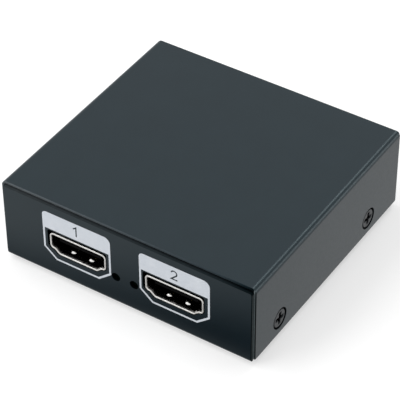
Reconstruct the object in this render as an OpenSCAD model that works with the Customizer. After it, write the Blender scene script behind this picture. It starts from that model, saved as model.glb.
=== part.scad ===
// Video splitter in a small two-piece steel case: one input socket, two output sockets.
// Origin at the middle of the footprint on the ground, front panel towards -Y, +Z up.

/* [Case] */
// Width across the cover's side walls
case_w = 66.4; // [60:0.2:90]
// Depth of the cover from its front edge to its rear edge
cover_d = 62.5; // [56:0.5:90]
// Height from the tray's underside to the cover's top
case_h = 21.4; // [20:0.2:32]
// Thickness of the cover's steel sheet
cover_t = 0.5; // [0.4:0.05:0.8]
// Inside radius of the cover's two long bends
cover_bend_r = 0.8; // [0.4:0.1:1.6]
// Thickness of the tray's steel sheet
tray_t = 0.8; // [0.6:0.05:1.2]
// Inside radius of the tray's bends
tray_bend_r = 0.4; // [0.2:0.1:1]
// How far the front and rear panels stand out past the cover's edges
panel_proud = 0.6; // [0.2:0.1:1]
// Gap between a panel's top edge and the cover's top plate
panel_top_gap = 0.2; // [0.1:0.05:1]
// Radius of the panels' corners
panel_corner_r = 1.1; // [0.5:0.1:2]
// Gap between the tray's sides and the cover's walls
wall_gap = 0.1; // [0.05:0.05:0.3]
// Height of the cover walls' lower edges above the tray's underside
wall_lift = 0.8; // [0.4:0.1:1.5]

/* [Case screws] */
// Distance of the front screws from the cover's front edge
screw_front = 10.2; // [8:0.1:14]
// Distance of the rear screws from the cover's rear edge
screw_rear = 13.4; // [9:0.1:16]
// Height of the screws above the tray's underside
screw_z = 5.1; // [4.2:0.1:6]
// Thread diameter
screw_d = 2.5; // [2:0.1:3]
// Length from the head's face to the tip
screw_len = 4; // [3.5:0.25:5]
// Diameter of the countersunk head
screw_head_d = 4.7; // [4.2:0.1:5.6]
// Height of the straight rim round the head
screw_land = 0.15; // [0.1:0.05:0.3]
// Depth of the head's face below the cover's wall
screw_sink = 0.1; // [0:0.05:0.2]
// Sheet left under the countersunk seat
seat_web = 0.2; // [0.1:0.05:0.4]
// Width of a screw ear on the tray
ear_w = 10; // [8:0.5:12]
// Height of a screw ear above the screw's axis
ear_above = 3.5; // [3:0.25:5]

/* [Feet] */
// Diameter of a rubber foot
foot_d = 8; // [6:0.5:9]
// Thickness of a rubber foot
foot_h = 0.8; // [0.6:0.1:3]
// Distance of a foot's centre from the case's outer edges
foot_inset = 8; // [6:0.5:9]
// Radius of a foot's lower edge
foot_edge_r = 0.4; // [0.2:0.1:0.6]

/* [Board] */
// Thickness of the circuit board
board_t = 1.6; // [1:0.2:2]
// Height of the standoffs between the tray and the board
standoff_h = 5.1; // [4:0.1:6]
// Width of a standoff across its flats
standoff_w = 4.5; // [4:0.1:5]
// Distance of a standoff's centre from the board's side edge
standoff_inset = 3.6; // [3:0.1:4.5]
// Free space between the case screws' tips and the board
board_side_gap = 1.6; // [0.5:0.1:2]
// Gap between the board and the front and rear panels
board_end_gap = 0.4; // [0.2:0.1:1]
// Thread diameter of the board screws
board_screw_d = 2.5; // [2:0.1:2.6]
// Thread length in the standoff
board_screw_grip = 3; // [2:0.25:4]

/* [Sockets] */
// Distance between the two output sockets
port_pitch = 25.5; // [22:0.5:32]
// Place of the input socket, to the left of the middle
input_offset = 10; // [8:0.5:14]
// Width of a socket's opening
opening_w = 14; // [13.8:0.05:14.3]
// Height of a socket's opening
opening_h = 4.55; // [4.4:0.05:4.8]
// Thickness of a socket's stamped shell
shell_t = 0.3; // [0.2:0.05:0.4]
// Depth of a socket's shell from its mouth
shell_len = 11.6; // [11:0.1:13]
// Width of the turned-out lip round the mouth
lip_w = 0.2; // [0.1:0.05:0.4]
// Depth of that lip
lip_len = 0.5; // [0.3:0.1:0.8]
// Gap between the lip and the panel round it
port_gap = 0.4; // [0.2:0.05:0.6]
// Thickness of the tongue that carries the contacts
tongue_t = 1.2; // [1:0.05:1.4]
// Width of the tongue
tongue_w = 11.2; // [10.8:0.1:11.8]
// Depth of the tongue's tip behind the mouth
tongue_setback = 1.2; // [1:0.1:2]
// Distance between neighbouring contacts in a row
contact_pitch = 1; // [0.9:0.05:1.05]
// Contacts in the upper row
contact_count = 10; // [6:1:10]
// Distance of the lower spring fingers from the socket's middle
finger_x = 2.45; // [2.2:0.05:3]
// Width of a spring finger
finger_w = 2; // [1.6:0.1:2.4]

/* [Indicator lights] */
// Distance of each light from the middle of the front panel
light_x = 2.4; // [2:0.1:3]
// Diameter of the holes in the front panel
light_hole_d = 2.1; // [1.6:0.1:2.4]
// Height of a light's axis above the board
light_z = 0.4; // [0.4:0.05:0.6]

/* [Power jack] */
// Place of the jack, to the right of the middle
jack_offset = 14; // [12:0.5:18]
// Width of the jack's housing
jack_w = 9; // [8.4:0.1:10]
// Height of the jack's axis above the board
jack_z = 6.5; // [6:0.1:7]
// Depth of the jack's housing
jack_len = 14; // [13:0.25:15]
// Diameter of the jack's bore
jack_bore_d = 6.3; // [6:0.1:6.6]
// Depth of the jack's bore
jack_bore_len = 10; // [9:0.25:11]
// Diameter of the jack's centre pin
jack_pin_d = 2; // [1.6:0.05:2.5]
// Depth of the pin's tip behind the mouth
jack_pin_setback = 1.5; // [1:0.1:2.5]
// Gap between the jack's housing and the panel round it
jack_gap = 0.3; // [0.2:0.05:0.5]

/* [Hidden] */
$fn = 64;

// Room by which a cutting shape passes the surface that it cuts
cut = 1;
// Radial room of a screw's thread in its tapped hole
thread_gap = 0.03;

// Levels, from the ground up
tray_z = foot_h;
floor_z = tray_z + tray_t;
board_z = floor_z + standoff_h;
board_top = board_z + board_t;
top_z = tray_z + case_h;

// Tray and panels
tray_bend_out = tray_bend_r + tray_t;
panel_w = case_w - 2 * (cover_t + wall_gap);
panel_h = case_h - cover_t - panel_top_gap;
panel_d = cover_d + 2 * panel_proud;
front_y = -panel_d / 2;

// Case screws, each seated in a cone pressed into the cover's wall
seat_r = screw_head_d / 2 + screw_sink + screw_land;
seat_depth = seat_r - screw_d / 2;
dimple_h = seat_depth + seat_web - cover_t;
ear_x = case_w / 2 - cover_t - dimple_h;
ear_h = screw_z + ear_above;
ear_relief = 0.8;
ear_collar_wall = 0.7;
ear_collar_r = screw_d / 2 + ear_collar_wall;
ear_collar_len = 0.8;
screw_ys = [screw_front - cover_d / 2, cover_d / 2 - screw_rear];
cross_w = 0.7;
cross_depth = 0.9;

// Circuit board
board_w = case_w - 2 * (screw_len + screw_sink + board_side_gap);
board_d = panel_d - 2 * (tray_t + board_end_gap);
board_corner_r = 1;
standoff_x = board_w / 2 - standoff_inset;
standoff_past_socket = 6;
standoff_past_jack = 5;
standoff_ys = [front_y + shell_len + standoff_past_socket, -front_y - jack_len - standoff_past_jack];
clinch_shoulder = 0.6;
clinch_r = standoff_w / 2 - clinch_shoulder;
board_hole_gap = 0.15;
board_hole_r = board_screw_d / 2 + board_hole_gap;
board_head_brim = 0.95;
board_head_r = board_screw_d / 2 + board_head_brim;
board_head_h = 1.6;
leg_below = 0.8;

// Socket: tongue, spring fingers, contacts and legs
tongue_raise = 0.15;
tongue_z = shell_t + opening_h / 2 + tongue_raise;
block_len = 3.6;
block_gap = 0.02;
outline_r = 0.25;
floor_chamfer_in = 2.1;
floor_chamfer_out = 0.9;
floor_chamfer_h = 1.05;
side_step_in = 0.25;
side_step_low = 1.15;
side_step_high = 1.45;
finger_root = 6.4;
finger_tip = 1.1;
finger_rise = 0.35;
finger_slot = 0.3;
bump_r = 0.55;
bump_back = 1.5;
bump_sink = 0.25;
side_finger_w = 1.2;
contact_w = 0.3;
contact_t = 0.15;
contact_start = 0.7;
contact_drop = 0.4;
contact_foot = 0.9;
leg_w = 1.4;
leg_ys = [3.4, 9];
leg_top = 2.2;
slot_gap = 0.25;

// Indicator light
light_w = 1.6;
light_d = 0.9;

// Power jack
jack_bore_r = jack_bore_d / 2;
jack_pin_r = jack_pin_d / 2;
jack_shank_step = 0.4;
jack_shank_r = jack_pin_r + jack_shank_step;
jack_tail_w = 1.8;
jack_tail_t = 0.4;
jack_spring_w = 2.2;
jack_spring_t = 0.3;
jack_spring_z = 1.2;
jack_spring_front = 3;
jack_spring_lead_in = 1;
jack_spring_root = 9;
jack_spring_rise = 0.2;

// Chips and other pieces on the board
chip_w = 10;
chip_h = 1.4;
chip_lift = 0.1;
chip_side_leads = 16;
chip_lead_pitch = 0.5;
chip_lead_w = 0.22;
chip_lead_t = 0.15;
chip_lead_out = 1;
memory_w = 3.9;
memory_len = 4.9;
memory_h = 1.5;
memory_x = 13;
memory_y = 8;
memory_lead_count = 4;
memory_lead_pitch = 1.27;
memory_lead_w = 0.42;
regulator_w = 3.5;
regulator_len = 6.5;
regulator_h = 1.6;
regulator_inset = 4.6;
regulator_x = regulator_inset - board_w / 2;
regulator_y = 3.7;
regulator_lead_count = 3;
regulator_lead_pitch = 2.3;
regulator_lead_w = 0.7;
regulator_tab_w = 3;
power_lead_t = 0.2;
power_lead_out = 1.1;
mould_draft = 0.15;
crystal_w = 4.4;
crystal_len = 10.8;
crystal_h = 3.4;
crystal_flange = 0.3;
crystal_flange_h = 0.5;
crystal_x = 13;
crystal_y = -4;
coil_w = 5;
coil_h = 2.8;
coil_corner = 0.9;
coil_ring = 0.5;
coil_x = -11.5;
coil_y = 9;
can_d = 6.3;
can_h = 5.2;
can_edge_r = 0.5;
can_groove = 0.3;
can_groove_z = 0.9;
can_base_w = 6.6;
can_base_h = 1;
can_base_corner = 1.2;
can_x = -11.5;
can_ys = [-8.5, 0.5];
passive_len = 1.6;
passive_w = 0.8;
passive_h = 0.5;
passive_end = 0.3;
passive_cap = 0.04;
passive_count = 5;
passive_pitch = 2.2;
passive_past_leads = 1.6;
passive_row_y = chip_w / 2 + chip_lead_out + passive_past_leads;
guard_w = 2.5;
guard_d = 1;
guard_h = 0.5;
guard_x = 3;
guard_behind = 1.5;

// Colours
charcoal = "#363c42";
rubber_black = "#1c1c1e";
nickel = "#c9c8c4";
zinc = "#b9bcbf";
black_resin = "#141416";
contact_gold = "#cfa75a";
board_green = "#1d5a3c";
solder_tin = "#bfc3c6";
ferrite_grey = "#4a4b4e";
ceramic_tan = "#b79b74";
light_amber = "#d9c9a0";

// Outlines. Corner lists run counter-clockwise.
function unit(v) = v / norm(v);
function outward(a, b) = let (u = unit(b - a)) [u[1], -u[0]];
function mitre(m, n) = (m + n) / (1 + m * n);

// An outline moved out by d on every side
function grown(p, d) = let (n = len(p)) [
    for (i = [0:n - 1])
        p[i] + d * mitre(outward(p[(i + n - 1) % n], p[i]), outward(p[i], p[(i + 1) % n]))
];

// An outline whose corners are arcs of radius r
function rounded(p, r, steps = 5) = let (n = len(p)) [
    for (i = [0:n - 1])
        let (
            a = unit(p[(i + n - 1) % n] - p[i]),
            b = unit(p[(i + 1) % n] - p[i]),
            half = acos(a * b) / 2,
            middle = p[i] + unit(a + b) * r / sin(half),
            from = p[i] + a * r / tan(half) - middle,
            turn = 180 - 2 * half,
            way = sign(a[1] * b[0] - a[0] * b[1])
        )
        for (k = [0:steps])
            let (t = way * turn * k / steps)
            middle + [from[0] * cos(t) - from[1] * sin(t), from[0] * sin(t) + from[1] * cos(t)]
];

// A path moved sideways by d
function beside(p, d) = let (n = len(p)) [
    for (i = [0:n - 1])
        let (
            before = outward(p[max(i - 1, 0)], p[max(i, 1)]),
            after = outward(p[min(i, n - 2)], p[min(i + 1, n - 1)])
        )
        p[i] + d * mitre(before, after)
];

// The outline of a bent strip of thickness t along a path
function strip(p, t) = concat(
    beside(p, t / 2),
    [for (i = [len(p) - 1:-1:0]) beside(p, -t / 2)[i]]
);

// The D-shaped opening of a socket, wide side up, standing on the shell's floor
function opening() = [
    for (s = [1, -1], i = [0:4])
        let (
            k = s > 0 ? i : 4 - i,
            half = opening_w / 2,
            corner = [
                [half - floor_chamfer_in, 0], [half - floor_chamfer_out, floor_chamfer_h],
                [half - side_step_in, side_step_low], [half, side_step_high], [half, opening_h]
            ][k]
        )
        [s * corner[0], corner[1] + shell_t]
];

// Extrusions of a drawn outline
module along_x(length) {
    rotate([90, 0, 90]) linear_extrude(length, center = true) children();
}

module along_y(from, to) {
    translate([0, to, 0]) rotate([90, 0, 0]) linear_extrude(to - from) children();
}

// A shape that lies along Z, turned to lie along Y from the origin
module facing_y() {
    rotate([-90, 0, 0]) children();
}

module both_sides() {
    for (s = [0, 1]) mirror([s, 0, 0]) children();
}

// Sheet metal
module round_floor(w, h, r) {
    translate([-w / 2, r]) square([w, h - r]);
    translate([r - w / 2, 0]) square([w - 2 * r, h]);
    for (s = [-1, 1]) translate([s * (w / 2 - r), r]) circle(r);
}

// A sheet bent up at both ends
module bent_sheet(w, h, r, t) {
    difference() {
        round_floor(w, h, r + t);
        translate([0, t]) round_floor(w - 2 * t, h, r);
    }
}

// What a round corner takes off, for a corner at the origin with the sheet below and to the left
module corner_scrap(r) {
    difference() {
        translate([-r, -r]) square(r + cut);
        translate([-r, -r]) circle(r);
    }
}

// Places
module at_output(side) {
    translate([side * port_pitch / 2, front_y, board_top]) children();
}

module at_input() {
    translate([-input_offset, -front_y, board_top]) rotate(180) children();
}

module at_jack() {
    translate([jack_offset, -front_y, board_top]) rotate(180) children();
}

module at_sockets() {
    for (side = [-1, 1]) at_output(side) children();
    at_input() children();
}

module at_standoffs() {
    for (x = [-standoff_x, standoff_x], y = standoff_ys) translate([x, y, 0]) children();
}

// At each case screw, with +Z running in from the cover's wall
module at_case_screws() {
    both_sides()
        for (y = screw_ys)
            translate([case_w / 2, y, tray_z + screw_z]) rotate([0, -90, 0]) children();
}

module on_board(x, y) {
    translate([x, y, board_top]) children();
}

// Case
module panel_corner_scraps() {
    both_sides() {
        translate([panel_w / 2, 0, panel_h])
            along_y(front_y - cut, -front_y + cut) corner_scrap(panel_corner_r);
        for (end = [0, 1])
            mirror([0, end, 0])
                translate([panel_w / 2, 0, 0])
                    along_y(front_y - cut, front_y + tray_bend_out)
                        mirror([0, 1]) corner_scrap(panel_corner_r);
    }
}

module port_hole() {
    along_y(-cut, tray_t + cut)
        polygon(rounded(grown(opening(), shell_t + lip_w + port_gap), outline_r));
}

module jack_outline(grow) {
    translate([-jack_w / 2 - grow, -grow]) square([jack_w + 2 * grow, jack_z + grow]);
    translate([0, jack_z]) circle(jack_w / 2 + grow);
}

module ear_notches() {
    both_sides()
        for (y = screw_ys)
            translate([ear_x - tray_bend_out, y - ear_w / 2 - ear_relief, -cut])
                cube([tray_bend_out + panel_w, ear_w + 2 * ear_relief, tray_t + 2 * cut]);
}

module screw_ears() {
    for (y = screw_ys)
        along_y(y - ear_w / 2, y + ear_w / 2)
            bent_sheet(2 * ear_x, ear_h, tray_bend_r, tray_t);
}

module base_tray() {
    ear_depth = case_w / 2 - ear_x;
    color(charcoal)
        difference() {
            union() {
                translate([0, 0, tray_z]) {
                    difference() {
                        along_x(panel_w) bent_sheet(panel_d, panel_h, tray_bend_r, tray_t);
                        panel_corner_scraps();
                        ear_notches();
                    }
                    screw_ears();
                }
                at_case_screws()
                    translate([0, 0, ear_depth]) cylinder(tray_t + ear_collar_len, r = ear_collar_r);
            }
            at_case_screws()
                translate([0, 0, ear_depth - cut])
                    cylinder(tray_t + ear_collar_len + 2 * cut, d = screw_d + 2 * thread_gap);
            at_sockets() port_hole();
            at_jack() along_y(-cut, tray_t + cut) jack_outline(jack_gap);
            for (s = [-1, 1])
                translate([s * light_x, front_y - cut, board_top + light_z])
                    facing_y() cylinder(tray_t + 2 * cut, d = light_hole_d);
            at_standoffs() translate([0, 0, tray_z - cut]) cylinder(tray_t + 2 * cut, r = clinch_r);
        }
}

module top_cover() {
    dimple_r = seat_r + seat_web;
    color(charcoal)
        difference() {
            union() {
                translate([0, 0, top_z])
                    along_y(-cover_d / 2, cover_d / 2)
                        mirror([0, 1]) bent_sheet(case_w, case_h - wall_lift, cover_bend_r, cover_t);
                at_case_screws()
                    translate([0, 0, cover_t])
                        cylinder(dimple_h, r1 = dimple_r, r2 = dimple_r - dimple_h);
            }
            at_case_screws() {
                cylinder(seat_depth, r1 = seat_r, r2 = screw_d / 2);
                translate([0, 0, -cut]) cylinder(cut, r = seat_r);
                cylinder(seat_depth + cut, d = screw_d + 2 * thread_gap);
            }
        }
}

module cross_recess(head_d) {
    for (turn = [0, 90])
        rotate(turn)
            translate([-0.3 * head_d, -cross_w / 2, -cut]) cube([0.6 * head_d, cross_w, cross_depth + cut]);
}

module case_screws() {
    head_r = screw_head_d / 2;
    color(charcoal)
        at_case_screws()
            translate([0, 0, screw_sink])
                difference() {
                    union() {
                        cylinder(screw_land, r = head_r);
                        translate([0, 0, screw_land])
                            cylinder(head_r - screw_d / 2, r1 = head_r, r2 = screw_d / 2);
                        cylinder(screw_len, d = screw_d);
                    }
                    cross_recess(screw_head_d);
                }
}

module rubber_feet() {
    foot_x = case_w / 2 - foot_inset;
    foot_y = cover_d / 2 - foot_inset;
    flat_r = foot_d / 2 - foot_edge_r;
    color(rubber_black)
        for (x = [-foot_x, foot_x], y = [-foot_y, foot_y])
            translate([x, y, 0])
                rotate_extrude() {
                    square([flat_r, foot_h]);
                    translate([0, foot_edge_r]) square([foot_d / 2, foot_h - foot_edge_r]);
                    translate([flat_r, foot_edge_r])
                        intersection() {
                            circle(foot_edge_r);
                            translate([0, -foot_edge_r]) square(2 * foot_edge_r);
                        }
                }
}

// Board and what holds it
module socket_slots() {
    both_sides()
        for (y = leg_ys)
            translate([opening_w / 2 - slot_gap, y - leg_w / 2 - slot_gap, -board_t - cut])
                cube([shell_t + 2 * slot_gap, leg_w + 2 * slot_gap, board_t + 2 * cut]);
}

module jack_slots() {
    for (y = [jack_len + jack_tail_t / 2, jack_spring_root])
        translate([-jack_tail_w / 2 - slot_gap, y - jack_tail_t / 2 - slot_gap, -board_t - cut])
            cube([jack_tail_w + 2 * slot_gap, jack_tail_t + 2 * slot_gap, board_t + 2 * cut]);
}

module circuit_board() {
    color(board_green)
        difference() {
            translate([0, 0, board_z])
                linear_extrude(board_t)
                    polygon(rounded(
                        [for (c = [[1, 1], [-1, 1], [-1, -1], [1, -1]]) [c[0] * board_w, c[1] * board_d] / 2],
                        board_corner_r
                    ));
            at_standoffs() translate([0, 0, board_z - cut]) cylinder(board_t + 2 * cut, r = board_hole_r);
            at_sockets() socket_slots();
            at_jack() jack_slots();
        }
}

module board_standoffs() {
    color(zinc)
        at_standoffs()
            difference() {
                union() {
                    translate([0, 0, floor_z])
                        cylinder(standoff_h, d = standoff_w / cos(30), $fn = 6);
                    translate([0, 0, tray_z]) cylinder(tray_t, r = clinch_r);
                }
                translate([0, 0, board_z - standoff_h + tray_t])
                    cylinder(standoff_h, d = board_screw_d + 2 * thread_gap);
            }
}

module board_screws() {
    color(zinc)
        at_standoffs()
            translate([0, 0, board_top])
                difference() {
                    union() {
                        cylinder(board_head_h, r = board_head_r);
                        translate([0, 0, -board_t - board_screw_grip])
                            cylinder(board_t + board_screw_grip, d = board_screw_d);
                    }
                    translate([0, 0, board_head_h]) mirror([0, 0, 1]) cross_recess(2 * board_head_r);
                }
}

// Video socket, with its mouth at y = 0 and the board's face at z = 0
module finger(x, width, crest) {
    translate([x, 0, 0]) {
        along_x(width)
            polygon(strip([
                [finger_root + shell_t, shell_t / 2],
                [finger_root, shell_t / 2],
                [bump_back + shell_t, shell_t / 2 + crest],
                [finger_tip, shell_t / 2 + crest / 2]
            ], shell_t));
        translate([0, bump_back + shell_t, shell_t + crest - bump_sink]) sphere(bump_r);
    }
}

module finger_window(x, width) {
    translate([x - width / 2 - finger_slot, finger_tip - finger_slot, -cut])
        cube([width + 2 * finger_slot, finger_root - finger_tip + finger_slot, cut + shell_t + finger_slot / 2]);
}

// The opening's upper and side walls, each turned down to lie on the floor
module on_roof() {
    translate([0, 0, opening_h + 2 * shell_t]) mirror([0, 0, 1]) children();
}

module on_sides() {
    both_sides()
        translate([opening_w / 2 + shell_t, 0, shell_t + 0.62 * opening_h]) rotate([0, -90, 0]) children();
}

module socket_shell() {
    color(nickel) {
        difference() {
            union() {
                along_y(0, shell_len) polygon(rounded(grown(opening(), shell_t), outline_r + shell_t));
                along_y(0, lip_len) polygon(rounded(grown(opening(), shell_t + lip_w), outline_r + shell_t));
            }
            along_y(-cut, shell_len + cut) polygon(rounded(opening(), outline_r));
            for (x = [-finger_x, finger_x]) {
                finger_window(x, finger_w);
                on_roof() finger_window(x, finger_w);
            }
            on_sides() finger_window(0, side_finger_w);
        }
        for (x = [-finger_x, finger_x]) {
            finger(x, finger_w, finger_rise);
            on_roof() finger(x, finger_w, finger_rise);
        }
        on_sides() finger(0, side_finger_w, finger_rise);
        both_sides()
            for (y = leg_ys)
                translate([opening_w / 2, y - leg_w / 2, -board_t - leg_below])
                    cube([shell_t, leg_w, board_t + leg_below + leg_top]);
    }
}

// One contact in a row, seated flush in the tongue's face at height z
module contact(x, z) {
    translate([x, 0, 0])
        along_x(contact_w)
            polygon(strip([
                [tongue_setback + contact_start, z],
                [shell_len + contact_drop, z],
                [shell_len + contact_drop, contact_t / 2],
                [shell_len + contact_drop + contact_foot, contact_t / 2]
            ], contact_t));
}

module socket_contacts() {
    upper_z = tongue_z + tongue_t / 2 - contact_t / 2;
    lower_z = tongue_z - tongue_t / 2 + contact_t / 2;
    first = -(contact_count - 1) * contact_pitch / 2;
    color(contact_gold) {
        for (i = [0:contact_count - 1]) contact(first + i * contact_pitch, upper_z);
        for (i = [0:contact_count - 2]) contact(first + (i + 0.5) * contact_pitch, lower_z);
    }
}

module socket_insulator() {
    nose = tongue_t / 4;
    half = tongue_t / 2;
    color(black_resin)
        difference() {
            union() {
                along_y(shell_len - block_len, shell_len)
                    polygon(rounded(grown(opening(), -block_gap), outline_r));
                translate([0, 0, tongue_z])
                    along_x(tongue_w)
                        polygon([
                            [tongue_setback, nose - half], [tongue_setback + nose, -half],
                            [shell_len - block_len + cut, -half], [shell_len - block_len + cut, half],
                            [tongue_setback + nose, half], [tongue_setback, half - nose]
                        ]);
            }
            socket_contacts();
        }
}

module output_1_shell() { at_output(-1) socket_shell(); }
module output_1_insulator() { at_output(-1) socket_insulator(); }
module output_1_contacts() { at_output(-1) socket_contacts(); }
module output_2_shell() { at_output(1) socket_shell(); }
module output_2_insulator() { at_output(1) socket_insulator(); }
module output_2_contacts() { at_output(1) socket_contacts(); }
module input_shell() { at_input() socket_shell(); }
module input_insulator() { at_input() socket_insulator(); }
module input_contacts() { at_input() socket_contacts(); }

// Side-looking lights at the board's front edge
module indicator_lights() {
    lens_r = light_z;
    color(light_amber)
        for (s = [-1, 1])
            on_board(s * light_x, -board_d / 2) {
                translate([-light_w / 2, lens_r, 0]) cube([light_w, light_d, 2 * light_z]);
                translate([0, lens_r, 0]) cylinder(2 * light_z, r = lens_r);
            }
}

// Power jack, with its mouth at y = 0 and the board's face at z = 0
module jack_spring() {
    crest = jack_z - jack_bore_r + jack_spring_rise;
    along_x(jack_spring_w)
        polygon(strip([
            [jack_spring_front, jack_spring_z + jack_spring_t],
            [jack_spring_front + jack_spring_lead_in, crest],
            [jack_spring_root, jack_spring_z],
            [jack_spring_root, 0]
        ], jack_spring_t));
    translate([-jack_tail_w / 2, jack_spring_root - jack_spring_t / 2, -board_t - leg_below])
        cube([jack_tail_w, jack_spring_t, board_t + leg_below + jack_spring_z]);
}

module power_jack_housing() {
    channel_w = jack_spring_w + 2 * slot_gap;
    color(black_resin)
        at_jack()
            difference() {
                along_y(0, jack_len) jack_outline(0);
                translate([0, -cut, jack_z]) facing_y() cylinder(jack_bore_len + cut, r = jack_bore_r);
                translate([0, 0, jack_z]) facing_y() cylinder(jack_len + cut, r = jack_shank_r);
                translate([-channel_w / 2, jack_spring_front - cut, -cut])
                    cube([channel_w, jack_spring_root - jack_spring_front + 2 * cut, jack_z + cut]);
            }
}

module power_jack_pin() {
    tail_low = -board_t - leg_below;
    color(nickel)
        at_jack() {
            translate([0, jack_pin_setback + jack_pin_r, jack_z]) {
                sphere(jack_pin_r);
                facing_y() cylinder(jack_len - jack_pin_setback - jack_pin_r, r = jack_pin_r);
            }
            translate([0, jack_bore_len, jack_z])
                facing_y() cylinder(jack_len - jack_bore_len, r = jack_shank_r);
            translate([-jack_tail_w / 2, jack_len, tail_low])
                cube([jack_tail_w, jack_tail_t, jack_z + jack_shank_r - tail_low]);
        }
}

module power_jack_spring() {
    color(nickel) at_jack() jack_spring();
}

// Moulded body with drafted sides, standing a little above the board
module moulded_body(w, d, h) {
    middle = chip_lift + (h - chip_lift) / 2;
    intersection() {
        along_x(w)
            polygon([
                [-d / 2 + mould_draft, chip_lift], [d / 2 - mould_draft, chip_lift], [d / 2, middle],
                [d / 2 - mould_draft, h], [-d / 2 + mould_draft, h], [-d / 2, middle]
            ]);
        along_y(-d / 2, d / 2)
            polygon([
                [-w / 2 + mould_draft, chip_lift], [w / 2 - mould_draft, chip_lift], [w / 2, middle],
                [w / 2 - mould_draft, h], [-w / 2 + mould_draft, h], [-w / 2, middle]
            ]);
    }
}

// A row of leads that leave a body's -Y side at half its height and come down to the board
module lead_row(count, pitch, width, t, body_d, body_h, out) {
    middle = chip_lift + (body_h - chip_lift) / 2;
    edge = -body_d / 2;
    for (i = [0:count - 1])
        translate([(i - (count - 1) / 2) * pitch, 0, 0])
            along_x(width)
                polygon(strip([
                    [edge, middle], [edge - 0.35 * out, middle],
                    [edge - 0.55 * out, t / 2], [edge - out, t / 2]
                ], t));
}

module splitter_chip() {
    color(black_resin) on_board(0, 0) moulded_body(chip_w, chip_w, chip_h);
}

module splitter_chip_leads() {
    color(solder_tin)
        on_board(0, 0)
            for (side = [0:3])
                rotate(90 * side)
                    lead_row(
                        chip_side_leads, chip_lead_pitch, chip_lead_w, chip_lead_t,
                        chip_w, chip_h, chip_lead_out
                    );
}

module memory_chip() {
    color(black_resin) on_board(memory_x, memory_y) moulded_body(memory_len, memory_w, memory_h);
}

module memory_chip_leads() {
    color(solder_tin)
        on_board(memory_x, memory_y)
            for (side = [0, 180])
                rotate(side)
                    lead_row(
                        memory_lead_count, memory_lead_pitch, memory_lead_w, power_lead_t,
                        memory_w, memory_h, power_lead_out
                    );
}

module at_regulators() {
    for (y = [-regulator_y, regulator_y]) on_board(regulator_x, y) rotate(90) children();
}

module voltage_regulators() {
    color(black_resin) at_regulators() moulded_body(regulator_len, regulator_w, regulator_h);
}

module regulator_leads() {
    color(solder_tin)
        at_regulators() {
            lead_row(
                regulator_lead_count, regulator_lead_pitch, regulator_lead_w, power_lead_t,
                regulator_w, regulator_h, power_lead_out
            );
            rotate(180)
                lead_row(1, 0, regulator_tab_w, power_lead_t, regulator_w, regulator_h, power_lead_out);
        }
}

module stadium(w, length) {
    square([w, length - w], center = true);
    for (s = [-1, 1]) translate([0, s * (length - w) / 2]) circle(d = w);
}

module clock_crystal() {
    color(zinc)
        on_board(crystal_x, crystal_y) {
            linear_extrude(crystal_flange_h) stadium(crystal_w, crystal_len);
            linear_extrude(crystal_h) stadium(crystal_w - 2 * crystal_flange, crystal_len - 2 * crystal_flange);
        }
}

module power_coil() {
    half = coil_w / 2;
    pocket_r = half - coil_ring;
    color(ferrite_grey)
        on_board(coil_x, coil_y) {
            difference() {
                linear_extrude(coil_h)
                    polygon(rounded([[half, half], [-half, half], [-half, -half], [half, -half]], coil_corner));
                translate([0, 0, coil_h / 2]) cylinder(coil_h, r = pocket_r);
            }
            cylinder(coil_h - coil_ring / 2, r = pocket_r - coil_ring / 2);
        }
}

module capacitor_cans() {
    color(zinc)
        for (y = can_ys)
            on_board(can_x, y)
                translate([0, 0, can_base_h])
                    difference() {
                        rotate_extrude() {
                            square([can_d / 2 - can_edge_r, can_h]);
                            square([can_d / 2, can_h - can_edge_r]);
                            translate([can_d / 2 - can_edge_r, can_h - can_edge_r]) circle(can_edge_r);
                        }
                        translate([0, 0, can_groove_z])
                            rotate_extrude() translate([can_d / 2, 0]) circle(can_groove);
                    }
}

module capacitor_bases() {
    half = can_base_w / 2;
    snip = half - can_base_corner;
    color(black_resin)
        for (y = can_ys)
            on_board(can_x, y)
                linear_extrude(can_base_h)
                    polygon([
                        [-half, -half], [half, -half], [half, snip], [snip, half], [-snip, half], [-half, snip]
                    ]);
}

// A small two-ended piece with a metal cap at each end
module passive() {
    translate([0, 0, passive_h / 2]) {
        cube([passive_len, passive_w, passive_h], center = true);
        for (s = [-1, 1])
            translate([s * (passive_len - passive_end) / 2, 0, passive_cap])
                cube([passive_end, passive_w + 2 * passive_cap, passive_h + 2 * passive_cap], center = true);
    }
}

module passive_row(y) {
    for (i = [0:passive_count - 1])
        on_board((i - (passive_count - 1) / 2) * passive_pitch, y) passive();
}

module ceramic_capacitors() {
    color(ceramic_tan) passive_row(passive_row_y);
}

module resistors() {
    color(black_resin) passive_row(-passive_row_y);
}

// Low arrays behind each socket that take up static discharges
module surge_guards() {
    behind = shell_len + contact_drop + contact_foot + guard_behind;
    color(black_resin)
        at_sockets()
            for (s = [-1, 1])
                translate([s * guard_x - guard_w / 2, behind - guard_d / 2, 0]) cube([guard_w, guard_d, guard_h]);
}

base_tray();
top_cover();
case_screws();
rubber_feet();
circuit_board();
board_standoffs();
board_screws();
output_1_shell();
output_1_insulator();
output_1_contacts();
output_2_shell();
output_2_insulator();
output_2_contacts();
input_shell();
input_insulator();
input_contacts();
indicator_lights();
power_jack_housing();
power_jack_pin();
power_jack_spring();
splitter_chip();
splitter_chip_leads();
memory_chip();
memory_chip_leads();
voltage_regulators();
regulator_leads();
clock_crystal();
power_coil();
capacitor_cans();
capacitor_bases();
ceramic_capacitors();
resistors();
surge_guards();
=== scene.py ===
import math

import bpy
import numpy as np
from mathutils import Matrix, Vector
from mathutils.geometry import delaunay_2d_cdt


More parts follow.
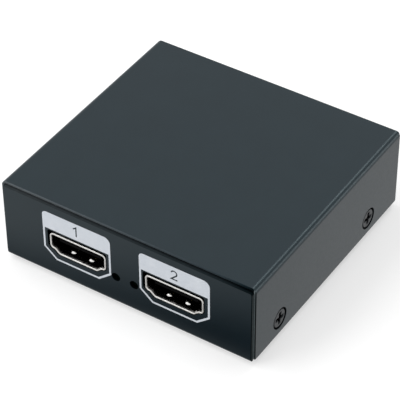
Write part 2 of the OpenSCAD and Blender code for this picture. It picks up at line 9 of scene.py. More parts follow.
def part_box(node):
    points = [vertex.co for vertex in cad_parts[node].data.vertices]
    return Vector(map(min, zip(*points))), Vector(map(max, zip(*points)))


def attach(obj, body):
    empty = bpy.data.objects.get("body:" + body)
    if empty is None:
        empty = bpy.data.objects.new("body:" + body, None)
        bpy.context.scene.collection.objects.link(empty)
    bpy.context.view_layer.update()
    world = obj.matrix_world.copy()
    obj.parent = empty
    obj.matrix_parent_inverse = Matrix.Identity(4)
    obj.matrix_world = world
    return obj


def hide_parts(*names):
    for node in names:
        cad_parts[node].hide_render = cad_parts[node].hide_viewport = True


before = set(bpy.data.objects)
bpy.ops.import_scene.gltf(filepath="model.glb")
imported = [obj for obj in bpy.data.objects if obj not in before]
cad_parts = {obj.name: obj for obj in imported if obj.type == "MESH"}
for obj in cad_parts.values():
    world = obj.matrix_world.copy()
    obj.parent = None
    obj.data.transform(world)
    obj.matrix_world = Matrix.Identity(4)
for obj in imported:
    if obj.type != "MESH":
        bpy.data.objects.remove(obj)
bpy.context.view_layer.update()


# The studio: a long lens on a box that stands on a white sweep under large soft lights.
# The camera's place, aim and roll come from the photograph's straight edges, with lengths in metres.
camera = bpy.data.objects.new("camera", bpy.data.cameras.new("camera"))
camera.data.sensor_width = 36.0
camera.data.lens = 184.33
camera.data.clip_start = 0.01
aim = Vector((-0.41411, 0.63411, -0.653)).to_track_quat("-Z", "Y").to_matrix().to_4x4()
roll = Matrix.Rotation(math.radians(-0.369), 4, "Z")
camera.matrix_world = Matrix.Translation((0.19327, -0.29754, 0.31495)) @ aim @ roll
bpy.context.scene.collection.objects.link(camera)
bpy.context.scene.camera = camera
bpy.context.scene.view_settings.view_transform = "Standard"


def add(tree, kind, inputs=None, **settings):
    """A shader node of that kind; an input takes a plain value, or a link where the value is another node's socket."""
    made = tree.nodes.new(kind)
    for key, value in settings.items():
        setattr(made, key, value)
    for key, value in (inputs or {}).items():
        if isinstance(value, bpy.types.NodeSocket):
            tree.links.new(value, made.inputs[key])
        else:
            made.inputs[key].default_value = value
    return made


def reckoned(tree, operation, *values, clamp=False):
    """One step of arithmetic on up to three values or sockets, such as their maximum, or a product and a sum."""
    return add(tree, "ShaderNodeMath", dict(enumerate(values)), operation=operation, use_clamp=clamp).outputs[0]


def ranged(tree, value, start, end, low=0.0, high=1.0):
    """A value that runs from low to high as another runs from start to end, and holds beyond them."""
    ends = {"From Min": start, "From Max": end, "To Min": low, "To Max": high}
    return add(tree, "ShaderNodeMapRange", {"Value": value, **ends}).outputs["Result"]


def seen_directly(tree):
    """1 for rays that show the backdrop itself, from the camera, off a gloss or through glass; 0 for light on the
    object."""
    rays = add(tree, "ShaderNodeLightPath").outputs
    plain_or_gloss = reckoned(tree, "MAXIMUM", rays["Is Camera Ray"], rays["Is Glossy Ray"])
    return reckoned(tree, "MAXIMUM", plain_or_gloss, rays["Is Transmission Ray"])


def tones(tree, factor, *stops):
    """A ramp from one colour to the next; each stop is a place from 0 to 1 and a colour."""
    ramp = add(tree, "ShaderNodeValToRGB", {"Fac": factor})
    while len(ramp.color_ramp.elements) < len(stops):
        ramp.color_ramp.elements.new(0.5)
    for element, (place, colour) in zip(ramp.color_ramp.elements, stops):
        element.position = place
        element.color = (*colour, 1.0)
    return ramp.outputs["Color"]


world = bpy.data.worlds.new("studio_air")
bpy.context.scene.world = world
world.use_nodes = True
air = world.node_tree
shown_or_lit = ranged(air, seen_directly(air), 0.0, 1.0, 0.6, 1.0)
air.nodes["Background"].inputs["Color"].default_value = (1.0, 1.0, 1.0, 1.0)
air.links.new(shown_or_lit, air.nodes["Background"].inputs["Strength"])

floor_mesh = bpy.data.meshes.new("white_sweep")
across, along = (a.ravel() for a in np.meshgrid(np.linspace(-4, 4, 2), np.linspace(-4, 4, 2)))
floor_mesh.from_pydata(np.stack([across, along, np.full(4, -0.00002)], 1).tolist(), [], [(0, 1, 3, 2)])
floor = bpy.data.objects.new("white_sweep", floor_mesh)
bpy.context.scene.collection.objects.link(floor)
paper = bpy.data.materials.new("white_paper")
paper.use_nodes = True
sheet_tree = paper.node_tree
rays = add(sheet_tree, "ShaderNodeLightPath").outputs
on_floor = add(sheet_tree, "ShaderNodeTexCoord").outputs["Object"]
spot = add(sheet_tree, "ShaderNodeSeparateXYZ", {0: on_floor}).outputs
# For glossy rays the paper's own colour is black, and its only light is a painted map: painted shade on the floor in
# front of the panel, darker towards the right and near the panel's foot, and pale beside and behind the box. The case
# reflects it as a painted shadow.
from_left = reckoned(sheet_tree, "MULTIPLY_ADD", spot["X"], -13.5, -1.77)
painted_front_shade = reckoned(sheet_tree, "MULTIPLY_ADD", spot["Y"], -54.0, from_left, clamp=True)
rearward = ranged(sheet_tree, spot["Y"], -0.036, 0.045)
beside = tones(sheet_tree, rearward, (0.0, (0.0, 0.0, 0.0)), (0.08, (0.9, 0.9, 0.9)), (1.0, (1.0, 1.0, 1.0)))
to_right = ranged(sheet_tree, spot["X"], 0.034, 0.04, 0.0, 0.9)
around = reckoned(sheet_tree, "MAXIMUM", beside, to_right)
painted_floor_reflection = reckoned(sheet_tree, "MAXIMUM", painted_front_shade, around)
reflected = reckoned(sheet_tree, "MAXIMUM", rays["Is Glossy Ray"], rays["Is Transmission Ray"])
in_gloss = reckoned(sheet_tree, "MULTIPLY", reflected, painted_floor_reflection)
away = add(sheet_tree, "ShaderNodeVectorMath", {0: on_floor}, operation="LENGTH").outputs["Value"]
whiter = ranged(sheet_tree, away, 0.08, 0.5, 0.5, 1.0)
lift = reckoned(sheet_tree, "MULTIPLY_ADD", rays["Is Camera Ray"], whiter, in_gloss)
pale, unlit = (0.56, 0.56, 0.56, 1.0), (0.0, 0.0, 0.0, 1.0)
fibre = add(sheet_tree, "ShaderNodeMix", {"Factor": reflected, 6: pale, 7: unlit}, data_type="RGBA")
dull = sheet_tree.nodes["Principled BSDF"]
dull.inputs["Roughness"].default_value = 1.0
dull.inputs["Specular IOR Level"].default_value = 0.0
dull.inputs["Emission Color"].default_value = (1.0, 1.0, 1.0, 1.0)
sheet_tree.links.new(fibre.outputs[2], dull.inputs["Base Color"])
sheet_tree.links.new(lift, dull.inputs["Emission Strength"])
from_below = add(sheet_tree, "ShaderNodeNewGeometry").outputs["Backfacing"]
clear = add(sheet_tree, "ShaderNodeBsdfTransparent").outputs[0]
one_sided = add(sheet_tree, "ShaderNodeMixShader", {"Fac": from_below, 1: dull.outputs[0], 2: clear})
sheet_tree.links.new(one_sided.outputs[0], sheet_tree.nodes["Material Output"].inputs["Surface"])
floor_mesh.materials.append(paper)

for name, place, size, power, mirrored_too in (
    ("key_softbox", (-0.85, -0.1, 1.1), 1.0, 8.0, True),
    ("rear_softbox", (0.07, 0.9, 1.1), 0.4, 3.6, True),
    ("side_softbox", (1.0, 0.85, 0.22), 0.44, 2.4, True),
    ("front_softbox", (-0.7, -0.9, 0.6), 0.7, 6.5, False),
):
    softbox = bpy.data.objects.new(name, bpy.data.lights.new(name, "AREA"))
    softbox.data.size = size
    softbox.data.energy = power
    softbox.visible_glossy = mirrored_too
    turn = (-Vector(place)).to_track_quat("-Z", "Y").to_matrix().to_4x4()
    softbox.matrix_world = Matrix.Translation(place) @ turn
    bpy.context.scene.collection.objects.link(softbox)


# Base tray: one blank of 0.8 mm steel, punched, then folded up into the front and rear panels.
# Four ears are turned up inside the cover's walls for the case screws, and dark powder coat covers it all.
MM = 0.001
coat_edge, panel_edge = 0.14, 0.26
tray_low, tray_high = (np.array(corner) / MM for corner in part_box("base_tray"))
cover_low, cover_high = (np.array(corner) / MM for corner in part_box("top_cover"))
board_top = float(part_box("circuit_board")[1].z / MM)
tray_steel, tray_bend, slack = 0.8, 1.2, 0.08
panel_top, panel_half = tray_high[2] - slack, tray_high[0] + slack
front_y, rear_y = tray_low[1], tray_high[1]


def rounded(corners, radius, steps=6):
    """Closed outline whose corners are arcs: each corner gives way to points on the circle of its radius
    that touches the two edges beside it."""
    p = np.asarray(corners, float)
    back = np.roll(p, 1, 0) - p
    ahead = np.roll(p, -1, 0) - p
    back /= np.linalg.norm(back, axis=1, keepdims=True)
    ahead /= np.linalg.norm(ahead, axis=1, keepdims=True)
    half = np.arccos(np.clip((back * ahead).sum(1), -1, 1)) / 2
    r = np.broadcast_to(np.asarray(radius, float), len(p))
    bisector = (back + ahead) / np.linalg.norm(back + ahead, axis=1, keepdims=True)
    middle = p + bisector * (r / np.sin(half))[:, None]
    start = p + back * (r / np.tan(half))[:, None] - middle
    turn = (np.pi - 2 * half) * np.sign(back[:, 1] * ahead[:, 0] - back[:, 0] * ahead[:, 1])
    t = turn[:, None] * np.linspace(0, 1, steps + 1)
    x, y = start[:, :1], start[:, 1:]
    arc = np.stack([x * np.cos(t) - y * np.sin(t), x * np.sin(t) + y * np.cos(t)], -1)
    return (middle[:, None] + arc).reshape(-1, 2)


def ring(middle, radius, count=40):
    """Circle about a point: equal steps of angle at one radius."""
    t = np.linspace(0, 2 * np.pi, count, endpoint=False)
    return np.asarray(middle, float) + radius * np.stack([np.cos(t), np.sin(t)], 1)


def outward(outline):
    """Mitre vector at each point of a counter-clockwise outline: the sum of the two edges' outward normals over one
    plus their dot product, so that a step along it moves both edges by that step."""
    edge = np.roll(outline, -1, 0) - outline
    edge = edge / np.linalg.norm(edge, axis=1, keepdims=True)
    normal = np.stack([edge[:, 1], -edge[:, 0]], 1)
    before = np.roll(normal, 1, 0)
    return (normal + before) / (1 + (normal * before).sum(1, keepdims=True))


def area(outline):
    """Signed area, half the sum of cross products of neighbours: positive when counter-clockwise."""
    following = np.roll(outline, -1, 0)
    return 0.5 * float((outline[:, 0] * following[:, 1] - outline[:, 1] * following[:, 0]).sum())


def band(rows, columns, wrap, first=0):
    """Quads between neighbouring rows and columns of a grid of points; wrap closes each row into a ring."""
    i, j = np.meshgrid(np.arange(rows - 1), np.arange(columns if wrap else columns - 1), indexing="ij")
    here, below, k = i * columns, (i + 1) * columns, (j + 1) % columns
    return first + np.stack([here + j, here + k, below + k, below + j], -1).reshape(-1, 4)


def pressed_sheet(outlines, thickness, edge, folds=(), back_edge=0.03):
    """Flat sheet with holes. The first outline is its rim and the rest are holes. Round every outline a quarter arc of
    the edge radius rolls from the face over to the wall, and a smaller one from the wall to the back, and the face
    between the innermost rings is filled with triangles. folds are pairs of rim points that an edge has to join.
    Gives points (u, v, depth), their normals (u, v, up), triangles, quads and an edge measure: up to 1 on the rim and
    down to -1 on the walls of holes, which the cut-face finish paints dark as shade."""
    t = np.linspace(0, np.pi / 2, 4)
    out, up = np.r_[np.sin(t), np.sin(t[::-1])], np.r_[np.cos(t), -np.cos(t[::-1])]
    points, normals, quads, fronts, loops, edges, start = [], [], [], [], [], [], 0
    for k, (outline, radius) in enumerate(zip(outlines, np.broadcast_to(edge, len(outlines)))):
        inset = np.r_[radius * (1 - np.sin(t)), back_edge * (1 - np.sin(t[::-1]))]
        depth = np.r_[radius * (1 - np.cos(t)), thickness - back_edge * (1 - np.cos(t[::-1]))]
        outline = outline if (area(outline) > 0) == (k == 0) else outline[::-1]
        away = outward(outline)
        flat = outline - inset[:, None, None] * away
        count = len(outline)
        points.append(np.concatenate([flat, np.broadcast_to(depth[:, None, None], (8, count, 1))], 2).reshape(-1, 3))
        sideways = away / np.linalg.norm(away, axis=1, keepdims=True)
        tilt = np.concatenate([out[:, None, None] * sideways, np.broadcast_to(up[:, None, None], (8, count, 1))], 2)
        normals.append(tilt.reshape(-1, 3))
        # Hole walls run down to -1 so that the cut-face finish paints them as shade.
        edges.append(np.repeat(out if k == 0 else np.array([0, 0, -0.5, -1, -1, -1, -1, 0]), count))
        quads.append(band(8, count, True, start))
        fronts.append(start + np.arange(count))
        loops.append(flat[0])
        start += 8 * count
    index = np.concatenate(fronts)
    step_to_back = np.concatenate([np.full(len(loop), 7 * len(loop)) for loop in loops])
    ends = np.cumsum([0] + [len(loop) for loop in loops])
    onward = np.concatenate([a + np.roll(np.arange(b - a), -1) for a, b in zip(ends[:-1], ends[1:])])
    wanted = np.stack([np.arange(ends[-1]), onward], 1).tolist()
    flat = np.concatenate(loops)
    filled = delaunay_2d_cdt(flat.tolist(), wanted + list(folds), [], 0, 1e-7)
    faces = np.array(filled[3])[:, 0][np.array(filled[2])]
    middle = flat[faces].mean(1)
    crossings = np.zeros(len(middle), int)
    for loop in loops:
        a, b = loop, np.roll(loop, -1, 0)
        spans = (a[:, 1] > middle[:, 1:]) != (b[:, 1] > middle[:, 1:])
        rise = np.where(b[:, 1] == a[:, 1], 1.0, b[:, 1] - a[:, 1])
        reach = a[:, 0] + (middle[:, 1:] - a[:, 1]) * (b[:, 0] - a[:, 0]) / rise
        crossings += (spans & (middle[:, :1] < reach)).sum(1)
    faces = faces[crossings % 2 == 1]
    triangles = np.concatenate([index[faces], (index + step_to_back)[faces]])
    points, normals = np.concatenate(points), np.concatenate(normals)
    return points, normals, triangles, np.concatenate(quads), np.concatenate(edges)


def folded(along, depth, start, heading, radius, lengths):
    """Place and frame of a sheet carried round quarter bends, always to the left. Distance runs along the outer face,
    which lies on the right: straight for a length, then a quarter circle of the outer radius, and so on. A point at a
    depth lies that far in from the face. Gives the point, the face's forward direction and its outward normal."""
    place = np.broadcast_to(np.asarray(start, float), along.shape + (2,)).copy()
    ahead, left = np.asarray(heading, float), np.array([-heading[1], heading[0]], float)
    angle = np.full(along.shape, math.atan2(heading[1], heading[0]))
    rest = along.copy()
    for k, length in enumerate(lengths):
        last = k == len(lengths) - 1
        straight = rest if last else np.minimum(rest, length)
        place += straight[..., None] * ahead
        if last:
            break
        t = np.clip((rest - length) / radius, 0, np.pi / 2)
        place += radius * (np.sin(t)[..., None] * ahead + (1 - np.cos(t))[..., None] * left)
        angle = angle + t
        rest = np.maximum(rest - length - radius * np.pi / 2, 0)
        ahead, left = left, -ahead
    forward = np.stack([np.cos(angle), np.sin(angle)], -1)
    outer = np.stack([forward[..., 1], -forward[..., 0]], -1)
    return place - depth[..., None] * outer, forward, outer


def joined(*parts):
    """One part of several: their points one after another, and each part's faces counted on from the points before
    it."""
    points, normals, triangles, quads, edges, start = [], [], [], [], [], 0
    for p, n, tri, quad, edge in parts:
        points.append(p)
        normals.append(n)
        triangles.append(np.asarray(tri, int).reshape(-1, 3) + start)
        quads.append(np.asarray(quad, int).reshape(-1, 4) + start)
        edges.append(edge)
        start += len(p)
    return tuple(np.concatenate(group) for group in (points, normals, triangles, quads, edges))


def piece(name, part, material, slot, *nodes, cut_faces=None):
    """A mesh from a part in millimetres: each face is turned to agree with its points' normals, the normals are kept
    for smooth shading, and the edge measure is stored beside them. Quads whose mean edge measure is not nil take the
    finish for cut faces, where one is given. It rides on the case and stands for the named nodes."""
    points, normals, triangles, quads, edges = part
    normals = normals / np.maximum(np.linalg.norm(normals, axis=1, keepdims=True), 1e-9)
    faces, cut, nil = [], [], 0.05
    for group in (triangles, quads):
        if len(group):
            corner = points[group]
            facing = np.cross(corner[:, 1] - corner[:, 0], corner[:, 2] - corner[:, 0])
            if group.shape[1] == 4:
                facing = facing + np.cross(corner[:, 2] - corner[:, 0], corner[:, 3] - corner[:, 0])
            wrong = (facing * normals[group].mean(1)).sum(1) < 0
            faces += np.where(wrong[:, None], group[:, ::-1], group).tolist()
            cut.append((np.abs(edges[group].mean(1)) > nil) & (group.shape[1] == 4))
    mesh = bpy.data.meshes.new(name)
    mesh.from_pydata((points * MM).tolist(), [], faces)
    mesh.shade_smooth()
    mesh.attributes.new("edge", "FLOAT", "POINT").data.foreach_set("value", np.asarray(edges, np.float32))
    mesh.normals_split_custom_set_from_vertices(normals.tolist())
    mesh.materials.append(material)
    if cut_faces is not None:
        mesh.materials.append(cut_faces)
        mesh.polygons.foreach_set("material_index", np.concatenate(cut).astype(np.int32))
    made = bpy.data.objects.new(name, mesh)
    bpy.context.scene.collection.objects.link(made)
    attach(made, "root")
    if nodes:
        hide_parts(*nodes)
    return made


def finish_of(name, **sockets):
    """A new material: its tree, its shader with the given plain values, and object coordinates for its patterns."""
    material = bpy.data.materials.new(name)
    material.use_nodes = True
    shader = material.node_tree.nodes["Principled BSDF"]
    for key, value in sockets.items():
        shader.inputs[key.replace("_", " ").title().replace("Ior", "IOR")].default_value = value
    return material, material.node_tree, shader, add(material.node_tree, "ShaderNodeTexCoord").outputs["Object"]


def grain(tree, where, size_mm, detail=3.0):
    """Noise whose lumps are about that many millimetres across."""
    inputs = {"Vector": where, "Scale": 1.0 / (size_mm * MM), "Detail": detail}
    return add(tree, "ShaderNodeTexNoise", inputs).outputs["Fac"]


def relief(tree, shader, height, depth_mm, strength=1.0, under=None):
    """Bump of that depth on a shader, on top of another bump where one is given."""
    inputs = {"Height": height, "Distance": depth_mm * MM, "Strength": strength}
    if under is not None:
        inputs["Normal"] = under
    bump = add(tree, "ShaderNodeBump", inputs)
    tree.links.new(bump.outputs["Normal"], shader.inputs["Normal"])
    return bump.outputs["Normal"]


def spread(tree, factor, low, high):
    """A value that runs from low to high as the factor runs from 0.3 to 0.7, the middle of a noise."""
    return ranged(tree, factor, 0.3, 0.7, low, high)


powder_coat, tree, shader, where = finish_of(
    "dark_powder_coat", specular_ior_level=0.33, specular_tint=(0.72, 0.93, 1.0, 1.0))
mottle, peel, dust = (grain(tree, where, size, detail) for size, detail in ((7.0, 2.0), (0.55, 2.0), (0.16, 4.0)))
base = tones(tree, mottle, (0.3, (0.0044, 0.0096, 0.0138)), (0.7, (0.0053, 0.0112, 0.0158)))
speck = tones(tree, dust, (0.45, (0.82, 0.82, 0.82)), (0.75, (1.35, 1.35, 1.35)))
speckled = add(tree, "ShaderNodeMix", {"Factor": 1.0, 6: base, 7: speck}, data_type="RGBA", blend_type="MULTIPLY")
tree.links.new(speckled.outputs[2], shader.inputs["Base Color"])
tree.links.new(spread(tree, peel, 0.31, 0.36), shader.inputs["Roughness"])
relief(tree, shader, dust, 0.003, 0.5, relief(tree, shader, peel, 0.003, 0.5))

# Finish for cut faces, painted light and shade rather than the coat's own colour. Along X a painted highlight runs
# light at the left and fades to dark at the right, and at the right end a painted light strip lies between two painted
# dark lines. Where the edge measure falls to nil or below, as on the walls of holes and the screw cones, it is painted
# near-black as shade. The rub noise only varies the tone at random.
painted_edge_light_shade, tree, shader, where = finish_of(
    "painted_edge_light_shade", specular_ior_level=0.06, roughness=0.6, specular_tint=(0.5, 0.9, 1.0, 1.0))
across = add(tree, "ShaderNodeSeparateXYZ", {0: where}).outputs["X"]
rub = grain(tree, where, 1.2, 3.0)
painted_line_shade, painted_line_light = (0.0005, 0.0015, 0.002), (0.15, 0.18, 0.19)
painted_edge_tones = tones(tree, ranged(tree, across, -0.026, 0.034), (0.0, (0.086, 0.097, 0.105)), (0.533, (0.047, 0.058, 0.066)),
             (0.842, (0.026, 0.036, 0.043)), (0.942, (0.004, 0.009, 0.012)), (0.9767, painted_line_shade), (0.9775, painted_line_light),
             (0.983, painted_line_light), (0.9837, painted_line_shade))
rubbed = tones(tree, rub, (0.35, (0.88, 0.88, 0.88)), (0.65, (1.06, 1.06, 1.06)))
patchy = add(tree, "ShaderNodeMix", {"Factor": 1.0, 6: painted_edge_tones, 7: rubbed}, data_type="RGBA", blend_type="MULTIPLY")
painted_light_share = add(tree, "ShaderNodeAttribute", attribute_name="edge").outputs["Fac"]
painted_shade_mix = add(tree, "ShaderNodeMix", {"Factor": painted_light_share, 6: (0.0005, 0.0009, 0.0011, 1.0), 7: patchy.outputs[2]},
           data_type="RGBA", clamp_factor=True)
tree.links.new(painted_shade_mix.outputs[2], shader.inputs["Base Color"])
relief(tree, shader, rub, 0.004, 0.4)

panel_run = panel_top - tray_low[2] - tray_bend
bend_run = tray_bend * np.pi / 2
floor_run = rear_y - front_y - 2 * tray_bend
cover_steel = 0.5
rear_rise = cover_high[2] - cover_steel - panel_top
blank_run = 2 * panel_run + 2 * bend_run + floor_run + rear_rise
tray_lengths = (panel_run, floor_run, panel_run + rear_rise)
case_half = cover_high[0]
screw_low, screw_high = (np.array(corner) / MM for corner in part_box("case_screws"))
screw_r = (screw_high[2] - screw_low[2]) / 2
screw_z = (screw_high[2] + screw_low[2]) / 2
screw_ys = (screw_low[1] + screw_r, screw_high[1] - screw_r)
seat_r, seat_hole_r, seat_web, thread_r, screw_sink = screw_r + 0.25, 1.28, 0.2, 1.25, 0.1
ear_x = case_half - (seat_r - thread_r) - seat_web
ear_half, ear_room, corner_r, low_corner_r, relief_run = 5.0, 0.8, 0.7, 0.45, 0.6

floor_half = tray_high[0] + 0.09
turn_points = 9
quarter = np.linspace(0, np.pi / 2, turn_points)
low_z = tray_bend * (1 - np.sin(quarter))
tuck = low_corner_r - np.sqrt(np.maximum(low_corner_r**2 - np.maximum(low_corner_r - low_z, 0) ** 2, 0))
front_side = np.concatenate([
    np.stack([panel_half - corner_r * (1 - np.sin(quarter)), corner_r * (1 - np.cos(quarter))], 1),
    np.stack([panel_half - tuck, panel_run + tray_bend * quarter], 1),
    np.array([(panel_half - low_corner_r, relief_run), (floor_half, relief_run)]) + (0, panel_run + bend_run),
])
notches = np.concatenate([
    np.array([(floor_half, -1), (ear_x - tray_bend, -1), (ear_x - tray_bend, 1), (floor_half, 1)])
    * (1, ear_half + ear_room) + (0, panel_run + bend_run + (y - front_y - tray_bend)) for y in screw_ys
])
front_corner, front_bend, front_relief = np.split(front_side * (1, -1), (turn_points, 2 * turn_points))
rear_side = np.concatenate([front_corner + (slack, blank_run), front_bend + (slack, blank_run - rear_rise),
                            front_relief + (0, blank_run - rear_rise)])
right_side = np.concatenate([front_side, notches, rear_side[::-1]])
blank_rim = np.concatenate([right_side, (right_side * (-1, 1))[::-1]])
near_drop, far_lift, top_painted_light_share, hair = 0.08, 0.12, 0.3, 0.01
blank_rim[:turn_points, 1] += near_drop
blank_rim[-turn_points:, 1] -= far_lift
bend_rows = np.r_[turn_points:2 * turn_points]
bend_rows = np.r_[bend_rows, len(right_side) - 1 - bend_rows[::-1]]
bend_pairs = [(int(i), int(len(blank_rim) - 1 - i)) for i in bend_rows]

mouth = np.array([(4.9, 0.3), (6.1, 1.35), (6.75, 1.45), (7.0, 1.75), (7.0, 4.85)])
mouth = np.concatenate([mouth, (mouth * (-1, 1))[::-1]])
mouth_r = np.array([0.5, 0.6, 0.35, 0.35, 0.5, 0.5, 0.35, 0.35, 0.6, 0.5])
panel_hole, close_hole = (rounded(mouth + outward(mouth) * gap, np.maximum(mouth_r, 0.5)) for gap in (0.9, 0.66))
shell_boxes = {name: [np.array(c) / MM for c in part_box(f"{name}_shell")] for name in ("output_1", "output_2", "input")}
port_x = {name: (low[0] + high[0]) / 2 for name, (low, high) in shell_boxes.items()}
jack_low, jack_high = (np.array(corner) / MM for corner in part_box("power_jack_housing"))
jack_x, jack_half, jack_axis = (jack_low[0] + jack_high[0]) / 2, (jack_high[0] - jack_low[0]) / 2, 6.5
t = np.linspace(0, np.pi, 40)
arch_top = np.array([[0, jack_axis]]) + jack_half * np.stack([np.cos(t), np.sin(t)], 1)
jack_arch = np.concatenate([[(jack_half, 0.0)], arch_top, [(-jack_half, 0.0)]])
light_x, light_z, light_r = 2.4, 0.4, 1.05
stand_low, stand_high = (np.array(corner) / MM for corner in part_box("board_screws"))
stub_r, stand_r = 1.65, 2.2


def on_front(outline):
    """An outline drawn over the board's face on the front panel, as seen on the blank."""
    return outline * (1, -1) + (0, panel_top - board_top)


def on_rear(outline):
    """The same on the rear panel, whose height runs on along the blank."""
    return outline * (-1, 1) + (0, blank_run - rear_rise - (panel_top - board_top))


punched = [on_front(panel_hole + (port_x[name], 0)) for name in ("output_1", "output_2")]
punched += [on_front(ring((x, light_z), light_r)) for x in (-light_x, light_x)]
punched += [on_rear(close_hole - (port_x["input"], 0))]
punched += [on_rear(jack_arch + outward(jack_arch) * slack - (jack_x, 0))]
stand_xs, stand_ys = ((stand_low[k] + stand_r, stand_high[k] - stand_r) for k in (0, 1))
punched += [ring((x, panel_run + bend_run + y - front_y - tray_bend), stub_r) for x in stand_xs for y in stand_ys]

flat, tilt, triangles, quads, edges = pressed_sheet(
    [blank_rim, *punched], tray_steel, [panel_edge] + [coat_edge] * len(punched), bend_pairs)
on_rim = np.arange(len(flat)) < 8 * len(blank_rim)
corner_x = panel_half - corner_r + hair
top_edge = on_rim & (flat[:, 1] < panel_edge + near_drop + hair) & (np.abs(flat[:, 0]) < corner_x)
right_edge = on_rim & (flat[:, 0] > corner_x) & (flat[:, 1] < panel_run + bend_run / 2)
# The panel's top edge takes the cut-face finish only 0.3 of the way from painted near-black towards its painted light:
# painted shade under the cover's edge. The panel's right edge takes the full painted light and lines, and the rest of
# the rim keeps the coat.
edges = np.where(top_edge, top_painted_light_share, np.where(right_edge, 1.0, np.where(on_rim, 0.0, edges)))
place, forward, outer = folded(flat[:, 1], flat[:, 2], (front_y, panel_top), (0, -1), tray_bend, tray_lengths)
turned = tilt[:, 1:2] * forward + tilt[:, 2:] * outer
tray = (np.column_stack([flat[:, 0], place]), np.column_stack([tilt[:, 0], turned]), triangles, quads, edges)

ear_height = 8.6
ear_top = ear_height - tray_bend
ear_rise = np.r_[tray_bend * quarter, bend_run + ear_top]
ear_side = np.stack([np.full(len(ear_rise), ear_half), ear_rise], 1)
ear_rim = np.concatenate([ear_side, (ear_side * (-1, 1))[::-1]])
ear_hole = ring((0, bend_run + screw_z - tray_low[2] - tray_bend), seat_hole_r, 24)
bend_pairs = [(i, len(ear_rim) - 1 - i) for i in range(1, turn_points)]
flat, tilt, triangles, quads, _ = pressed_sheet([ear_rim, ear_hole], tray_steel, coat_edge, bend_pairs)
ear_foot = (ear_x - tray_bend, tray_low[2])
place, forward, outer = folded(flat[:, 1], flat[:, 2], ear_foot, (1, 0), tray_bend, (0.0, ear_top))
turned = tilt[:, 1:2] * forward + tilt[:, 2:] * outer
ears = [
    (np.column_stack([side * place[:, 0], flat[:, 0] + y, place[:, 1]]),
     np.column_stack([side * turned[:, 0], tilt[:, 0], turned[:, 1]]), triangles, quads, np.zeros(len(flat)))
    for side in (-1, 1) for y in screw_ys
]
piece("folded_tray", joined(tray, *ears), powder_coat, "case_paint", "base_tray", cut_faces=painted_edge_light_shade)


# Socket insulators: black moulded blocks that close the backs of the sockets and carry a tongue in each mouth.
# The contacts lie in the tongue's two faces, plated with thin gold over nickel.
def dress(material, *names):
    """Gives CAD nodes a finish through their own material slots."""
    for name in names:
        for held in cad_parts[name].material_slots:
            held.material = material


black_resin, tree, shader, where = finish_of("black_moulded_resin", specular_ior_level=0.1)
flow = grain(tree, where, 0.5, 3.0)
body = tones(tree, flow, (0.3, (0.0025, 0.0025, 0.0028)), (0.7, (0.0045, 0.0045, 0.005)))
tree.links.new(body, shader.inputs["Base Color"])
tree.links.new(spread(tree, flow, 0.42, 0.58), shader.inputs["Roughness"])
relief(tree, shader, grain(tree, where, 0.12, 3.0), 0.003, 0.5)

# The insulators take a darker, less glossy copy of the black resin: painted shade for the inside of the sockets.
socket_resin_painted_shade, tree, shader, where = finish_of("black_resin_painted_shade", specular_ior_level=0.04)
flow = grain(tree, where, 0.5, 3.0)
body = tones(tree, flow, (0.3, (0.0012, 0.0012, 0.0013)), (0.7, (0.0022, 0.0022, 0.0024)))
tree.links.new(body, shader.inputs["Base Color"])
tree.links.new(spread(tree, flow, 0.5, 0.65), shader.inputs["Roughness"])
dress(socket_resin_painted_shade, "output_1_insulator", "output_2_insulator", "input_insulator")

contact_gold, tree, shader, where = finish_of("contact_gold", metallic=1.0)
wipe = grain(tree, where, 0.2, 2.0)
tree.links.new(tones(tree, wipe, (0.3, (0.68, 0.44, 0.14)), (0.7, (0.83, 0.6, 0.25))), shader.inputs["Base Color"])
tree.links.new(spread(tree, wipe, 0.2, 0.34), shader.inputs["Roughness"])
dress(contact_gold, "output_1_contacts", "output_2_contacts", "input_contacts")


# Socket shells: nickel-plated steel strip folded into a D-shaped tube with a turned-out lip at the mouth.
# Spring fingers with pressed bumps grip the plug, and legs go down through the board.
def gridded(points, wrap_rows=False, outer=None):
    """A part from a grid of points. Its normals are the cross product of the steps along rows, which may run on in a
    ring, and along columns; outer is a point that they face away from."""
    onward = np.roll(points, -1, 0) - np.roll(points, 1, 0) if wrap_rows else np.gradient(points, axis=0)
    normal = np.cross(onward, np.gradient(points, axis=1))
    if outer is not None:
        normal = normal * np.where(((points - outer) * normal).sum(-1, keepdims=True) < 0, -1.0, 1.0)
    rows, columns = points.shape[:2]
    quads = band(rows, columns, False)
    return points.reshape(-1, 3), normal.reshape(-1, 3), np.zeros((0, 3), int), quads, np.zeros(rows * columns)


def carried(profile, outline):
    """A profile of (step out, depth) carried round an outline: each row is the outline moved out by the step, at the
    depth."""
    stepped = outline[None] + profile[:, None, :1] * outward(outline)[None]
    depth = np.broadcast_to(profile[:, None, 1:], stepped.shape[:2] + (1,))
    return np.concatenate([stepped[..., :1], depth, stepped[..., 1:]], -1)


